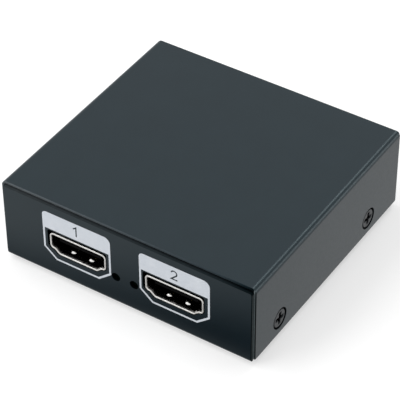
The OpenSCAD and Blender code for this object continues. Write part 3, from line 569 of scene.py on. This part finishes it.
shell_steel, shell_run, lip_r, flare, block_front = 0.3, 11.6, 0.22, 0.12, 8.0
opening = rounded(mouth, mouth_r)
t = np.linspace(np.pi, 2 * np.pi, 13)
lip = lip_r * np.stack([1 + np.cos(t), 1 + np.sin(t)], 1) + (flare, 0)
throat = np.r_[np.linspace(block_front, 1.0, 6), 0.8, 0.6, 0.45, 0.3]
profile = np.concatenate([
    np.stack([flare * np.clip((1.0 - throat) / 0.7, 0, 1) ** 2, throat], 1), lip,
    [(0.56, 0.33), (0.55, 0.44), (0.5, 0.54), (0.42, 0.64), (0.34, 0.8), (0.3, 1.1), (0.3, 6.0), (0.3, shell_run)],
])
tube_grid = carried(profile, opening)
steps_out = np.gradient(profile, axis=0)
facing = np.stack([steps_out[:, 1], -steps_out[:, 0]], 1)
facing /= np.linalg.norm(facing, axis=1, keepdims=True)
side = outward(opening)
side /= np.linalg.norm(side, axis=1, keepdims=True)
sideways = facing[:, None, :1] * side[None]
inward = np.broadcast_to(facing[:, None, 1:], (len(profile), len(opening), 1))
tube_normal = np.concatenate([sideways[..., :1], inward, sideways[..., 1:]], -1)
# The first 0.7 mm in from the mouth keeps the nickel's own colour; deeper in, the tube is painted dark as shade.
bright_run = 0.7
unshaded_toward_mouth = np.repeat(np.clip(1 - profile[:, 1] / bright_run, 0, 1), len(opening))
tube = (tube_grid.reshape(-1, 3), tube_normal.reshape(-1, 3), np.zeros((0, 3), int),
        band(*tube_grid.shape[:2], True), unshaded_toward_mouth)


def spring_finger(width, unshaded_share):
    """A finger that lies on a floor at z = 0: a strip whose height rises on half a cosine from its root to a crest near
    the mouth and dips to the tip, and on the crest a bump, a cap of a sphere on rings of equal angle. The second
    argument is the bump's share of the nickel's own colour against painted shade; the strip has none, so it is painted
    dark as shade."""
    root, crest_at, tip, lift, rise, dip = 6.4, 1.8, 1.1, 0.02, 0.1, 0.9
    across, run = np.meshgrid(np.linspace(-width / 2, width / 2, 9), np.linspace(root, tip, 33), indexing="ij")
    climb = 0.5 + 0.5 * np.cos(np.pi * (run - crest_at) / (root - crest_at))
    crest = np.where(run > crest_at, climb, 1 - dip * ((crest_at - run) / (crest_at - tip)) ** 2)
    strip = gridded(np.stack([across, run, lift + rise * crest], -1), outer=np.array([0, 3, -50.0]))
    turns, rings = 28, 9
    ring_angle, polar = np.meshgrid(
        np.linspace(0, 2 * np.pi, turns, endpoint=False), np.linspace(0.03, 1.1, rings), indexing="ij")
    radius = width / 2
    middle = np.array([0, 2.2, -0.46 * radius])
    cap = np.stack([np.sin(polar) * np.cos(ring_angle), np.sin(polar) * np.sin(ring_angle), np.cos(polar)], -1)
    bump = gridded(radius * cap + middle, wrap_rows=True, outer=middle)
    bump = (*bump[:3], np.concatenate([bump[3], ring_closing(turns, rings)]), np.full(turns * rings, unshaded_share))
    return joined(strip, bump)


def ring_closing(rows, columns):
    """The quads between a grid's last row and its first."""
    j = np.arange(columns - 1)
    return np.stack([(rows - 1) * columns + j, (rows - 1) * columns + j + 1, j + 1, j], 1)


def moved(part, turn, shift):
    """A part turned by a 3 by 3 matrix and shifted."""
    turn = np.asarray(turn, float)
    return (part[0] @ turn.T + shift, part[1] @ turn.T, *part[2:])


floor_z, roof_z, mid_z = 0.3, 4.85, 3.12
flip = np.diag([1, 1, -1])
on_right = np.array([[0, 0, -1], [0, 1, 0], [1, 0, 0]])
on_left = np.array([[0, 0, 1], [0, 1, 0], [1, 0, 0]])
wide, slim = spring_finger(2.0, 0.5), spring_finger(1.2, 0.0)
finger_xs, side_x = (-2.45, 2.45), 7.0
fingers = [moved(wide, np.eye(3), (x, 0, floor_z)) for x in finger_xs]
fingers += [moved(wide, flip, (x, 0, roof_z)) for x in finger_xs]
fingers += [moved(slim, on_right, (side_x, 0, mid_z)), moved(slim, on_left, (-side_x, 0, mid_z))]

leg_flat, leg_tilt, leg_tri, leg_quad, leg_edge = pressed_sheet(
    [rounded([(-0.7, -2.4), (0.7, -2.4), (0.7, 2.2), (-0.7, 2.2)], 0.2)], shell_steel, 0.05)
legs = [
    (np.column_stack([x + leg_flat[:, 2], y + leg_flat[:, 0], leg_flat[:, 1]]),
     np.column_stack([-leg_tilt[:, 2], leg_tilt[:, 0], leg_tilt[:, 1]]), leg_tri, leg_quad, leg_edge)
    for x in (side_x, -side_x - shell_steel) for y in (3.4, 9.0)
]

# Where the edge measure is nil the nickel finish paints a dark grey as the shade inside a socket: deep in the tube, on
# the finger strips and on the slim fingers' bumps. The lip and the wide fingers' bumps keep the bright nickel.
nickel, tree, shader, where = finish_of("bright_nickel", metallic=1.0)
cloud = grain(tree, where, 0.9, 3.0)
bright = tones(tree, cloud, (0.3, (0.74, 0.73, 0.71)), (0.7, (0.86, 0.85, 0.83)))
lip_and_unshaded_share = add(tree, "ShaderNodeAttribute", attribute_name="edge").outputs["Fac"]
unshaded_part, in_shade = ranged(tree, lip_and_unshaded_share, 0.0, 0.5), (0.16, 0.155, 0.15, 1.0)
tint = add(tree, "ShaderNodeMix", {"Factor": unshaded_part, 6: in_shade, 7: bright}, data_type="RGBA")
tree.links.new(tint.outputs[2], shader.inputs["Base Color"])
satin = ranged(tree, lip_and_unshaded_share, 0.5, 1.0, 0.18, 0.65)
tree.links.new(reckoned(tree, "ADD", satin, spread(tree, cloud, -0.03, 0.04)), shader.inputs["Roughness"])
relief(tree, shader, grain(tree, where, 0.25, 2.0), 0.0012, 0.5)

socket = joined(tube, *fingers, *legs)
aside, settled = 0.12, 0.27
for name in ("output_1", "output_2"):
    seated = moved(socket, np.eye(3), (port_x[name] + aside, front_y, board_top - settled))
    piece(f"{name}_socket", seated, nickel, "socket_nickel", f"{name}_shell")
half_turn = np.diag([-1, -1, 1])
seated = moved(socket, half_turn, (port_x["input"], rear_y, board_top))
piece("input_socket", seated, nickel, "socket_nickel", "input_shell")


# Port marks: white screen-printed ink on the front panel, a frame round each output socket with a solid band on top.
# The band holds the socket's plain number, left open in the ink so that the coat shows through.
def stroke(path, width):
    """Outline of a line of that width along a path: the path moved to either side by mitred normals."""
    path = np.asarray(path, float)
    edge = np.diff(path, axis=0)
    edge /= np.linalg.norm(edge, axis=1, keepdims=True)
    normal = np.stack([edge[:, 1], -edge[:, 0]], 1)
    before, after = np.vstack([normal[:1], normal]), np.vstack([normal, normal[-1:]])
    mitre = (before + after) / (1 + (before * after).sum(1, keepdims=True)) * width / 2
    return np.concatenate([path + mitre, (path - mitre)[::-1]])


t = np.radians(np.linspace(165, -38, 16))
line_w, bow_r, bow_z, figure_z = 0.34, 0.72, 1.85, 7.25
bow = np.stack([bow_r * np.cos(t), bow_z + bow_r * np.sin(t)], 1)
figures = {
    "output_1": stroke([(-0.75, 2.0), (0.05, 2.62), (0.05, 0.0)], line_w),
    "output_2": stroke(np.concatenate([bow, [(-bow_r, line_w / 2), (0.88, line_w / 2)]]), line_w),
}
ink_t, ink_edge = 0.03, 0.008
print_aside = {"output_1": 0.0, "output_2": 0.26}
ink_rim = np.array([(5.8, -2.4), (9.1, 0.4), (9.1, 10.95)])
ink_rim = rounded(np.concatenate([ink_rim, (ink_rim * (-1, 1))[::-1]]), (0.3, 0.3, 1.6, 1.15, 0.3, 0.3), 8)
ink_window = np.array([(5.62, -1.9), (8.6, 0.63), (8.6, 6.2)])
ink_window = rounded(np.concatenate([ink_window, (ink_window * (-1, 1))[::-1]]), (0.2, 0.2, 0.12, 0.12, 0.2, 0.2), 5)

white_ink, tree, shader, where = finish_of("white_screen_ink", specular_ior_level=0.35)
mesh_print, lay = grain(tree, where, 0.18, 2.0), grain(tree, where, 2.5, 2.0)
tree.links.new(tones(tree, lay, (0.3, (0.62, 0.66, 0.715)), (0.7, (0.67, 0.705, 0.755))), shader.inputs["Base Color"])
tree.links.new(spread(tree, mesh_print, 0.45, 0.6), shader.inputs["Roughness"])
relief(tree, shader, mesh_print, 0.003, 0.4)

for name, figure in figures.items():
    flat, tilt, triangles, quads, edges = pressed_sheet([ink_rim, ink_window, figure + (0, figure_z)], ink_t, ink_edge)
    middle = port_x[name] + print_aside[name]
    points = np.column_stack([flat[:, 0] + middle, front_y - ink_t + flat[:, 2], flat[:, 1] + board_top])
    mark = (points, np.column_stack([tilt[:, 0], -tilt[:, 2], tilt[:, 1]]), triangles, quads, edges)
    piece(f"{name}_mark", mark, white_ink, "case_paint")


# Power jack: a moulded arch-topped block with a round bore, a nickel pin on its axis and a spring for the plug.
# Tails under it are soldered into the board, and its face comes flush through the rear panel.
bore_r, bore_run, block_edge, pin_r = 3.15, 10.0, 0.22, 0.9
jack_run = jack_high[1] - jack_low[1]
bore = ring((0, jack_axis), bore_r, 64)
flat, tilt, triangles, quads, edges = pressed_sheet([jack_arch, bore], jack_run, block_edge)
block = (np.column_stack([jack_x - flat[:, 0], rear_y - flat[:, 2], flat[:, 1] + board_top]),
         np.column_stack([-tilt[:, 0], tilt[:, 2], tilt[:, 1]]), triangles, quads, edges)
angle, radius = np.meshgrid(np.linspace(0, 2 * np.pi, 64, endpoint=False), np.linspace(pin_r, bore_r, 4), indexing="ij")
axis_z = board_top + jack_axis
disc = np.stack([jack_x + radius * np.cos(angle), np.full(angle.shape, rear_y - bore_run),
                 axis_z + radius * np.sin(angle)], -1)
bore_floor = gridded(disc, wrap_rows=True, outer=np.array([jack_x, 0, axis_z]))
bore_floor = (*bore_floor[:3], np.concatenate([bore_floor[3], ring_closing(*angle.shape)]), bore_floor[4])
piece("jack_block", joined(block, bore_floor), black_resin, "black_resin", "power_jack_housing")
# They carry no edge measure, so the nickel finish gives them its dark painted-shade grey.
dress(nickel, "power_jack_pin", "power_jack_spring")


# Indicator lights: clear resin on small carriers at the board's front edge, seen only as dark spots when unlit.
# They are soldered down behind the two round holes.
light_resin, tree, shader, where = finish_of("unlit_lens_resin", specular_ior_level=0.15)
haze = grain(tree, where, 0.4, 2.0)
unlit_lens = tones(tree, haze, (0.3, (0.003, 0.0028, 0.0024)), (0.7, (0.006, 0.0056, 0.005)))
tree.links.new(unlit_lens, shader.inputs["Base Color"])
tree.links.new(spread(tree, haze, 0.18, 0.3), shader.inputs["Roughness"])
dress(light_resin, "indicator_lights")


# Circuit board: glass laminate under a green mask, with faint copper tracks, on zinc-plated standoffs.
# Pan-head screws hold it down to the tray.
board_mask, tree, shader, where = finish_of("green_board_mask", specular_ior_level=0.15)
tracks = add(tree, "ShaderNodeTexBrick", {
    "Vector": where, "Scale": 420.0, "Mortar Size": 0.05, "Color1": (0.0014, 0.006, 0.0036, 1),
    "Color2": (0.0016, 0.007, 0.004, 1), "Mortar": (0.0024, 0.011, 0.006, 1)})
tree.links.new(tracks.outputs["Color"], shader.inputs["Base Color"])
tree.links.new(spread(tree, grain(tree, where, 1.5), 0.25, 0.4), shader.inputs["Roughness"])
relief(tree, shader, tracks.outputs["Fac"], 0.02, 0.6)
dress(board_mask, "circuit_board")

zinc_plate, tree, shader, where = finish_of("zinc_plate", metallic=1.0)
bloom = grain(tree, where, 0.7, 4.0)
tree.links.new(tones(tree, bloom, (0.3, (0.46, 0.48, 0.5)), (0.7, (0.6, 0.61, 0.62))), shader.inputs["Base Color"])
tree.links.new(spread(tree, bloom, 0.28, 0.42), shader.inputs["Roughness"])
relief(tree, shader, bloom, 0.003, 0.4)
dress(zinc_plate, "board_standoffs", "board_screws", "clock_crystal")


# Chips and other board parts: moulded resin bodies on tinned leads, aluminium cans, a ferrite coil and ceramic blocks.
# All are soldered to the board's upper face inside the closed case.
dress(black_resin, "splitter_chip", "memory_chip", "voltage_regulators", "capacitor_bases", "resistors", "surge_guards")

solder_tin, tree, shader, where = finish_of("solder_tin", metallic=1.0)
frost = grain(tree, where, 0.15, 3.0)
tree.links.new(tones(tree, frost, (0.3, (0.5, 0.51, 0.53)), (0.7, (0.66, 0.67, 0.68))), shader.inputs["Base Color"])
tree.links.new(spread(tree, frost, 0.3, 0.5), shader.inputs["Roughness"])
dress(solder_tin, "splitter_chip_leads", "memory_chip_leads", "regulator_leads")

drawn_can, tree, shader, where = finish_of("drawn_aluminium", metallic=1.0)
draw_lines = add(tree, "ShaderNodeMapping", {"Vector": where, "Scale": (1.0, 1.0, 0.05)}).outputs["Vector"]
lines = grain(tree, draw_lines, 0.12, 2.0)
tree.links.new(tones(tree, lines, (0.3, (0.6, 0.61, 0.62)), (0.7, (0.74, 0.75, 0.76))), shader.inputs["Base Color"])
tree.links.new(spread(tree, lines, 0.22, 0.36), shader.inputs["Roughness"])
dress(drawn_can, "capacitor_cans")

ferrite, tree, shader, where = finish_of("pressed_ferrite", specular_ior_level=0.3)
pores = grain(tree, where, 0.1, 4.0)
pressed = tones(tree, pores, (0.35, (0.03, 0.03, 0.033)), (0.65, (0.075, 0.075, 0.08)))
tree.links.new(pressed, shader.inputs["Base Color"])
tree.links.new(spread(tree, pores, 0.6, 0.8), shader.inputs["Roughness"])
relief(tree, shader, pores, 0.01, 0.5)
dress(ferrite, "power_coil")

ceramic, tree, shader, where = finish_of("fired_ceramic", specular_ior_level=0.4)
fired = grain(tree, where, 0.2, 3.0)
tree.links.new(tones(tree, fired, (0.3, (0.36, 0.25, 0.14)), (0.7, (0.48, 0.35, 0.2))), shader.inputs["Base Color"])
tree.links.new(spread(tree, fired, 0.45, 0.6), shader.inputs["Roughness"])
dress(ceramic, "ceramic_capacitors")


# Top cover: a second steel blank, thinner, folded down into the two side walls and coated like the tray.
# Its walls have cones pressed in for the screw heads. Its cut edges show as a bright line round the panels, a painted
# highlight that fades from left to right, and the cones and the walls of their holes are painted dark as shade.
cover_bend, cover_edge = 1.3, 0.2
wall_run = cover_high[2] - cover_low[2] - cover_bend
cover_bend_run = cover_bend * np.pi / 2
top_run = 2 * case_half - 2 * cover_bend
cover_run = 2 * wall_run + 2 * cover_bend_run + top_run
cover_half_d = cover_high[1]
rise = np.r_[wall_run + cover_bend * quarter, wall_run + cover_bend_run + top_run + cover_bend * quarter]
lower_r = 0.4
corner = np.stack([cover_half_d - lower_r * (1 - np.sin(quarter)), lower_r * (1 - np.cos(quarter))], 1)
rear_edge = np.concatenate([corner, np.stack([np.full(len(rise), cover_half_d), rise], 1),
                            (corner * (1, -1) + (0, cover_run))[::-1]])
cover_rim = np.concatenate([rear_edge, (rear_edge * (-1, 1))[::-1]])
bend_pairs = [(i, len(cover_rim) - 1 - i) for i in range(turn_points, turn_points + len(rise))]
seat_s = screw_z - cover_low[2]
seat_holes = [ring((y, s), seat_r, 72) for y in screw_ys for s in (seat_s, cover_run - seat_s)]
flat, tilt, triangles, quads, edges = pressed_sheet([cover_rim, *seat_holes], cover_steel, cover_edge, bend_pairs)
# Every cut face of the rim takes the full painted edge light.
edges[:8 * len(cover_rim)] = 1.0
wall_foot, cover_lengths = (case_half, cover_low[2]), (wall_run, top_run, wall_run)
place, forward, outer = folded(flat[:, 1], flat[:, 2], wall_foot, (0, 1), cover_bend, cover_lengths)
turned = tilt[:, 1:2] * forward + tilt[:, 2:] * outer
cover = (np.column_stack([place[:, 0], flat[:, 0], place[:, 1]]),
         np.column_stack([turned[:, 0], tilt[:, 0], turned[:, 1]]), triangles, quads, edges)


def revolved(profile, steps=72):
    """A profile of (radius, depth) spun about a screw's axis: the depth runs along +X in from the wall at x = 0."""
    spin = np.linspace(0, 2 * np.pi, steps, endpoint=False)[:, None]
    count = len(profile)
    r, d = profile[None, :, 0], profile[None, :, 1]
    grid = np.stack([np.broadcast_to(d, (steps, count)), r * np.cos(spin), r * np.sin(spin)], -1)
    slope = np.gradient(profile, axis=0)
    lean = np.stack([slope[:, 0], -slope[:, 1]], 1) / np.linalg.norm(slope, axis=1, keepdims=True)
    inward, away = np.broadcast_to(lean[None, :, 0], (steps, count)), lean[None, :, 1]
    normal = np.stack([inward, away * np.cos(spin), away * np.sin(spin)], -1)
    quads = np.concatenate([band(steps, count, False), ring_closing(steps, count)])
    return grid.reshape(-1, 3), normal.reshape(-1, 3), np.zeros((0, 3), int), quads, np.zeros(steps * count)


seat_depth = seat_r - seat_hole_r
cone = np.stack([np.r_[seat_r, np.linspace(seat_r, seat_hole_r, 6), seat_hole_r - hair],
                 np.r_[seat_web, np.linspace(cover_steel - 0.05, seat_depth, 6), seat_depth + seat_web]], 1)
seat = revolved(cone)
# A measure of -1 paints the cones near-black as shade, the dark ring round each screw head.
seat = (*seat[:4], np.full(len(seat[0]), -1.0))
inwards = {1: np.diag([-1, -1, 1]), -1: np.eye(3)}
seats = [moved(seat, inwards[s], (s * case_half, y, screw_z)) for s in (-1, 1) for y in screw_ys]
piece("folded_cover", joined(cover, *seats), powder_coat, "case_paint", "top_cover", cut_faces=painted_edge_light_shade)


# Case screws: flat heads with a pressed cross, coated dark, driven into the ears through the cover's cones.
# Four hold the cover down, two on each side.
turns, steps = 120, 48
spin, reach = np.meshgrid(np.linspace(0, 2 * np.pi, turns, endpoint=False), np.linspace(0.01, 1, steps), indexing="ij")
head_r, slot_half_w, slot_half_run, cross_depth = screw_r - 0.16, 0.42, 1.45, 1.2
cross_turn = math.radians(8)


def eased(q):
    """1 well inside a slot and 0 outside; over the wall between them three times the square less twice the cube."""
    e = np.clip((1.18 - q) / 0.36, 0, 1)
    return e * e * (3 - 2 * e)


def slot_share(a, b):
    """Share of full depth in one slot of the cross: eased over its half width, times eased over its half length."""
    return eased(np.abs(a) / slot_half_w) * eased(np.abs(b) / slot_half_run)


u, v = head_r * reach * np.cos(spin - cross_turn), head_r * reach * np.sin(spin - cross_turn)
crown = 0.05 * np.clip((reach - 0.9) / 0.1, 0, 1) ** 2
cross = np.maximum(slot_share(u, v), slot_share(v, u))
face_depth = screw_sink + crown + cross_depth * cross
face = np.stack([face_depth, head_r * reach * np.cos(spin), head_r * reach * np.sin(spin)], -1)
head = gridded(face, wrap_rows=True, outer=np.array([50.0, 0, 0]))
# The cross's share of depth is the edge measure, which paints its recess dark as shade.
head = (*head[:3], np.concatenate([head[3], ring_closing(turns, steps)]), np.clip(cross - 0.25, 0, 1).ravel())
shank = revolved(np.array([
    (head_r, screw_sink + 0.05), (head_r, screw_sink + 0.15), (head_r - 0.03, screw_sink + 0.4),
    (thread_r, seat_r - thread_r), (thread_r, 2.5), (thread_r, 3.9), (1.0, 4.1), (0.3, 4.1)]))
screw_coat, tree, shader, where = finish_of("dark_screw_coat", specular_ior_level=0.3)
scuff = grain(tree, where, 0.3, 3.0)
driven = add(tree, "ShaderNodeAttribute", attribute_name="edge").outputs["Fac"]
plain = tones(tree, scuff, (0.3, (0.009, 0.012, 0.015)), (0.7, (0.016, 0.02, 0.024)))
cross_painted_shade = add(tree, "ShaderNodeMix", {"Factor": driven, 6: plain, 7: (0.002, 0.002, 0.002, 1.0)}, data_type="RGBA")
tree.links.new(cross_painted_shade.outputs[2], shader.inputs["Base Color"])
matt = reckoned(tree, "MULTIPLY_ADD", driven, 0.6, spread(tree, scuff, 0.34, 0.46), clamp=True)
tree.links.new(matt, shader.inputs["Roughness"])
relief(tree, shader, scuff, 0.004, 0.5)
# A near-black finish for the deepest faces of the cross: painted shade.
pit_shade_finish, tree, shader, where = finish_of("painted_shade_in_cross", specular_ior_level=0.05, roughness=0.7)
painted_pit_shade = tones(tree, grain(tree, where, 0.3, 2.0), (0.3, (0.0008, 0.0008, 0.0009)), (0.7, (0.0016, 0.0016, 0.0018)))
tree.links.new(painted_pit_shade, shader.inputs["Base Color"])
screw = joined(head, shank)
screws = [moved(screw, inwards[s], (s * case_half, y, screw_z)) for s in (-1, 1) for y in screw_ys]
piece("cross_head_screws", joined(*screws), screw_coat, "screw_paint", "case_screws", cut_faces=pit_shade_finish)


# Rubber feet: four discs moulded in soft black rubber, with a rounded lower edge and a shallow dish below.
# Each is stuck to the tray's underside near a corner with its own glue.
feet_low, feet_high = (np.array(corner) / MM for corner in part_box("rubber_feet"))
foot_h, foot_r, foot_edge, hub_r, dish = feet_high[2], 4.0, 0.4, 0.05, 0.06
turns, steps, sole = 64, 40, 0.55
spin, reach = np.meshgrid(np.linspace(0, 2 * np.pi, turns, endpoint=False), np.linspace(0, 1, steps), indexing="ij")
t = np.clip((reach - sole) / (1 - sole), 0, 1)
edge_angle = np.pi / 2 * np.clip(t / 0.6, 0, 1)
flat_r = hub_r + (foot_r - foot_edge - hub_r) * reach / sole
foot_radius = np.where(reach < sole, flat_r, foot_r - foot_edge + foot_edge * np.sin(edge_angle))
wall_z = foot_edge * (1 - np.cos(edge_angle)) + (foot_h - foot_edge) * np.clip((t - 0.6) / 0.4, 0, 1)
foot_z = np.where(reach < sole, dish * (1 - np.clip(reach / 0.5, 0, 1) ** 4), wall_z)
disc = np.stack([foot_radius * np.cos(spin), foot_radius * np.sin(spin), foot_z], -1)
foot = gridded(disc, wrap_rows=True, outer=np.array([0, 0, 3.0]))
foot = (*foot[:3], np.concatenate([foot[3], ring_closing(turns, steps)]), foot[4])
rubber, tree, shader, where = finish_of("moulded_rubber", specular_ior_level=0.25)
nap = grain(tree, where, 0.12, 4.0)
matt_black = tones(tree, nap, (0.3, (0.009, 0.009, 0.0095)), (0.7, (0.017, 0.017, 0.018)))
tree.links.new(matt_black, shader.inputs["Base Color"])
tree.links.new(spread(tree, nap, 0.65, 0.85), shader.inputs["Roughness"])
relief(tree, shader, nap, 0.008, 0.5)
feet_xs, feet_ys = ((feet_low[k] + foot_r, feet_high[k] - foot_r) for k in (0, 1))
feet = [moved(foot, np.eye(3), (x, y, 0)) for x in feet_xs for y in feet_ys]
piece("stick_on_feet", joined(*feet), rubber, "foot_rubber", "rubber_feet")
